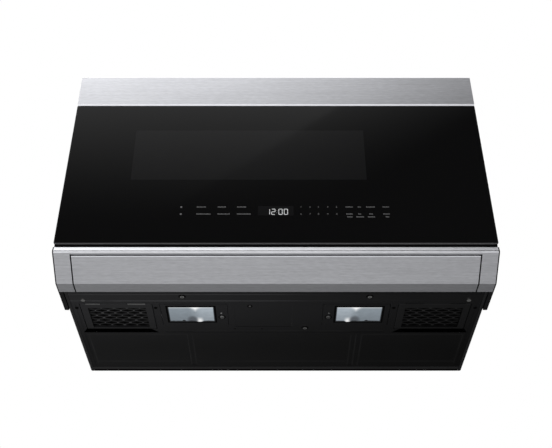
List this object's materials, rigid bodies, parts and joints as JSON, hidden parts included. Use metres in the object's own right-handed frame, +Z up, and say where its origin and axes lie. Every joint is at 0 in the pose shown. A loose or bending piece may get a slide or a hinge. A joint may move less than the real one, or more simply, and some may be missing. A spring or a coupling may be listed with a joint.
{
  "type": "over-the-range microwave oven",
  "caption": "Over-the-range microwave oven with a full-width black glass door, steel vent strip and slide-out lower bezel, grease filters and cooktop lamps underneath.",
  "frame": {"origin": "on the wall plane, at the middle of the cabinet's bottom edge", "axes": "+X to the right as seen from the front, +Y into the wall, +Z up"},
  "size_m": [0.759, 0.386, 0.4632],
  "materials": {
    "stainless": "brushed along X, satin",
    "black_paint": "satin black powder coat",
    "underside_paint": "low-sheen charcoal coat",
    "galvanised_sheet": "spangled zinc",
    "cavity_enamel": "semi-gloss grey enamel",
    "black_glass": "gloss, printed black behind",
    "clear_glass": "clear gloss",
    "door_plastic": "fine-grained black",
    "door_screen_paint": "satin black",
    "tray_plastic": "fine-grained black",
    "filter_aluminium": "dull, greased weave",
    "lamp_lens": "frosted, lit from behind",
    "circuit_board": "solder resist",
    "display": "smoked, with lit plain digits",
    "latch_plastic": "natural acetal",
    "switch_plastic": "moulded black",
    "wheel_plastic": "natural nylon",
    "spring_steel": "bright wire",
    "screw_steel": "zinc plated",
    "motor_steel": "grey lacquer",
    "transformer_core": "varnished laminations",
    "diode_body": "moulded black",
    "capacitor_can": "drawn can",
    "charcoal": "loose black granules in a mesh",
    "gland_rubber": "matte"
  },
  "bodies": {
    "cabinet": {"case_wrapper": "black_paint", "back_panel": "black_paint", "wall_plate": "black_paint", "base_plate": "underside_paint", "front_plate": "cavity_enamel", "side_trims": "door_plastic", "top_strip": "stainless", "front_bezel": "stainless", "vent_rails": "black_paint", "lamp_housings": "galvanised_sheet", "lamp_boards": "circuit_board", "oven_cavity": "cavity_enamel", "waveguide": "galvanised_sheet", "waveguide_cover": "latch_plastic", "magnetron": "motor_steel", "component_shelf": "galvanised_sheet", "high_voltage_transformer": "transformer_core", "high_voltage_capacitor": "capacitor_can", "high_voltage_diode": "diode_body", "power_board": "circuit_board", "cooling_fan_motor": "motor_steel", "cavity_lamp": "galvanised_sheet", "latch_board": "latch_plastic", "interlock_switches": "switch_plastic", "turntable_motor": "motor_steel", "blower_housing": "galvanised_sheet", "blower_motor": "motor_steel", "exhaust_adapter": "galvanised_sheet", "charcoal_filter": "charcoal", "cord_gland": "gland_rubber", "hinge_brackets": "galvanised_sheet", "cabinet_screws": "screw_steel"},
    "door": {"door_glass": "black_glass", "door_frame": "door_plastic", "door_inner_cover": "door_plastic", "door_screen": "door_screen_paint", "inner_window": "clear_glass", "touch_board": "circuit_board", "display_module": "display", "latch_spring": "spring_steel"},
    "latch_key": {"latch_key": "latch_plastic"},
    "vent_slide": {"vent_panel": "stainless", "vent_tray": "tray_plastic"},
    "filter_left": {"filter_frame_left": "filter_aluminium", "filter_mesh_left": "filter_aluminium"},
    "filter_right": {"filter_frame_right": "filter_aluminium", "filter_mesh_right": "filter_aluminium"},
    "lamp_cover_left": {"lamp_cover_left": "underside_paint", "lamp_lens_left": "lamp_lens"},
    "lamp_cover_right": {"lamp_cover_right": "underside_paint", "lamp_lens_right": "lamp_lens"},
    "turntable": {"drive_coupler": "latch_plastic"},
    "glass_tray": {"glass_tray": "clear_glass"},
    "roller_ring": {"roller_ring": "switch_plastic"},
    "roller_wheel_1": {"roller_wheel_1": "wheel_plastic"},
    "roller_wheel_2": {"roller_wheel_2": "wheel_plastic"},
    "roller_wheel_3": {"roller_wheel_3": "wheel_plastic"},
    "blower": {"blower_wheels": "switch_plastic"},
    "cooling_fan": {"cooling_fan_blade": "switch_plastic"},
    "damper": {"damper_flap": "galvanised_sheet"}
  },
  "joints": [
    {"name": "door_hinge", "type": "hinge", "parent": "cabinet", "child": "door", "pos_m": [-0.37, -0.352, 0.206], "axis": [0, 0, -1], "range_deg": [0, 90]},
    {"name": "latch_slide", "type": "slide", "parent": "door", "child": "latch_key", "axis": [0, 0, 1], "range_m": [0, 0.003], "stiffness_N_per_m": 200, "springref_m": -0.005, "deforming": ["latch_spring"]},
    {"name": "vent_slide_out", "type": "slide", "parent": "cabinet", "child": "vent_slide", "axis": [0, -1, 0], "range_m": [0, 0.07]},
    {"name": "filter_left_drop", "type": "slide", "parent": "cabinet", "child": "filter_left", "axis": [0, 0, -1], "range_m": [0, 0.06]},
    {"name": "filter_right_drop", "type": "slide", "parent": "cabinet", "child": "filter_right", "axis": [0, 0, -1], "range_m": [0, 0.06]},
    {"name": "lamp_cover_left_swing", "type": "hinge", "parent": "cabinet", "child": "lamp_cover_left", "pos_m": [-0.2065, -0.2252, 0.00075], "axis": [0, 1, 0], "range_deg": [0, 80]},
    {"name": "lamp_cover_right_swing", "type": "hinge", "parent": "cabinet", "child": "lamp_cover_right", "pos_m": [0.2035, -0.2252, 0.00075], "axis": [0, -1, 0], "range_deg": [0, 80]},
    {"name": "turntable_spin", "type": "hinge", "parent": "cabinet", "child": "turntable", "pos_m": [-0.053, -0.184, 0.1], "axis": [0, 0, 1], "continuous": true},
    {"name": "tray_lift", "type": "slide", "parent": "turntable", "child": "glass_tray", "axis": [0, 0, 1], "range_m": [0, 0.06]},
    {"name": "ring_spin", "type": "hinge", "parent": "cabinet", "child": "roller_ring", "pos_m": [-0.053, -0.184, 0.0993], "axis": [0, 0, 1], "continuous": true},
    {"name": "blower_spin", "type": "hinge", "parent": "cabinet", "child": "blower", "pos_m": [0, -0.07, 0.381], "axis": [1, 0, 0], "continuous": true},
    {"name": "fan_spin", "type": "hinge", "parent": "cabinet", "child": "cooling_fan", "pos_m": [0.27, -0.275, 0.276], "axis": [0, 1, 0], "continuous": true},
    {"name": "damper_hinge", "type": "hinge", "parent": "cabinet", "child": "damper", "pos_m": [0, -0.021, 0.4485], "axis": [-1, 0, 0], "range_deg": [0, 75]},
    {"name": "roller_wheel_1_spin", "type": "hinge", "parent": "roller_ring", "child": "roller_wheel_1", "pos_m": [-0.053, -0.082, 0.0993], "axis": [0, 1, 0], "continuous": true},
    {"name": "roller_wheel_2_spin", "type": "hinge", "parent": "roller_ring", "child": "roller_wheel_2", "pos_m": [-0.14133, -0.235, 0.0993], "axis": [-0.866, -0.5, 0], "continuous": true},
    {"name": "roller_wheel_3_spin", "type": "hinge", "parent": "roller_ring", "child": "roller_wheel_3", "pos_m": [0.03533, -0.235, 0.0993], "axis": [0.866, -0.5, 0], "continuous": true}
  ],
  "couplings": [
    {"joint": "ring_spin", "follows": "turntable_spin", "ratio": 0.5},
    {"joint": "roller_wheel_1_spin", "follows": "turntable_spin", "ratio": -7.2857},
    {"joint": "roller_wheel_2_spin", "follows": "turntable_spin", "ratio": -7.2857},
    {"joint": "roller_wheel_3_spin", "follows": "turntable_spin", "ratio": -7.2857}
  ]
}
